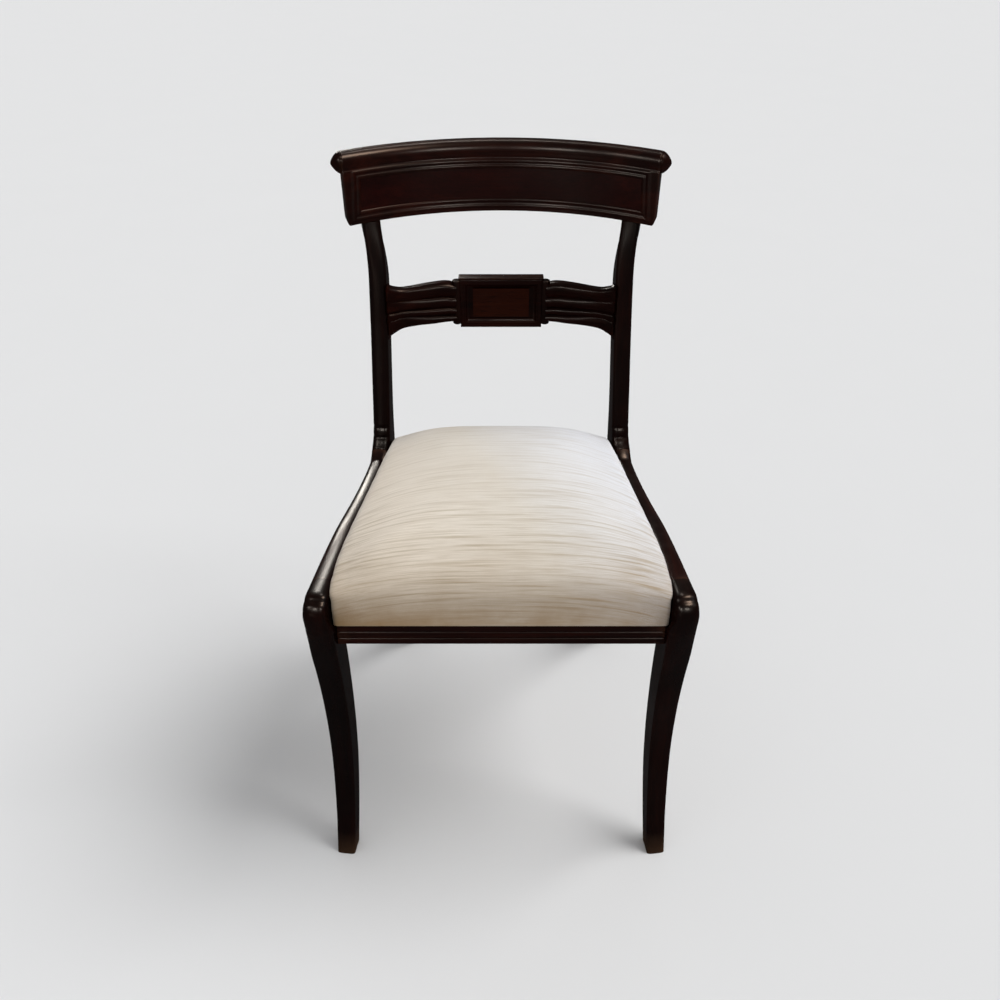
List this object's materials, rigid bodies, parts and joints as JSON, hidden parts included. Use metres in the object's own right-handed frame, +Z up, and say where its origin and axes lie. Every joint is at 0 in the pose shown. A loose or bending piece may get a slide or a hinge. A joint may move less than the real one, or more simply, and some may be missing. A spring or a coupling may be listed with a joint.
{
  "type": "dining side chair",
  "caption": "Mahogany side chair with sabre legs, bowed crest rail with an inlaid panel, carved mid rail with a centre tablet, and a padded seat that lifts out.",
  "frame": {"origin": "middle of the floor under the chair, at the middle of its width and depth", "axes": "+Z up, the chair faces -Y, +X to the right as it is seen from the front"},
  "size_m": [0.4558, 0.5086, 0.8406],
  "materials": {
    "mahogany": "french polish",
    "veneer": "french polish",
    "beech": "bare",
    "steel": "bare",
    "jute": "woven",
    "hessian": "woven",
    "wadding": "felted",
    "linen": "slubbed weave"
  },
  "bodies": {
    "frame": {"front_leg_left": "mahogany", "side_rail_left": "mahogany", "rear_post_left": "mahogany", "front_leg_right": "mahogany", "side_rail_right": "mahogany", "rear_post_right": "mahogany", "front_rail": "mahogany", "rear_rail": "mahogany", "crest_rail": "mahogany", "crest_panel": "veneer", "crest_boss_left": "mahogany", "crest_boss_right": "mahogany", "mid_rail": "mahogany", "tablet_panel": "veneer", "corner_block_front_left": "beech", "corner_block_front_right": "beech", "corner_block_rear_left": "beech", "corner_block_rear_right": "beech", "block_screw_1": "steel", "block_screw_2": "steel", "block_screw_3": "steel", "block_screw_4": "steel", "block_screw_5": "steel", "block_screw_6": "steel", "block_screw_7": "steel", "block_screw_8": "steel"},
    "seat": {"seat_frame_front": "beech", "seat_frame_back": "beech", "seat_frame_left": "beech", "seat_frame_right": "beech", "webbing_long_1": "jute", "webbing_long_2": "jute", "webbing_long_3": "jute", "webbing_cross_1": "jute", "webbing_cross_2": "jute", "webbing_cross_3": "jute", "base_cloth": "hessian", "stuffing": "wadding", "seat_cover": "linen"}
  },
  "joints": [
    {"name": "seat_lift", "type": "slide", "parent": "frame", "child": "seat", "axis": [0, 0, 1], "range_m": [0, 0.08]}
  ]
}
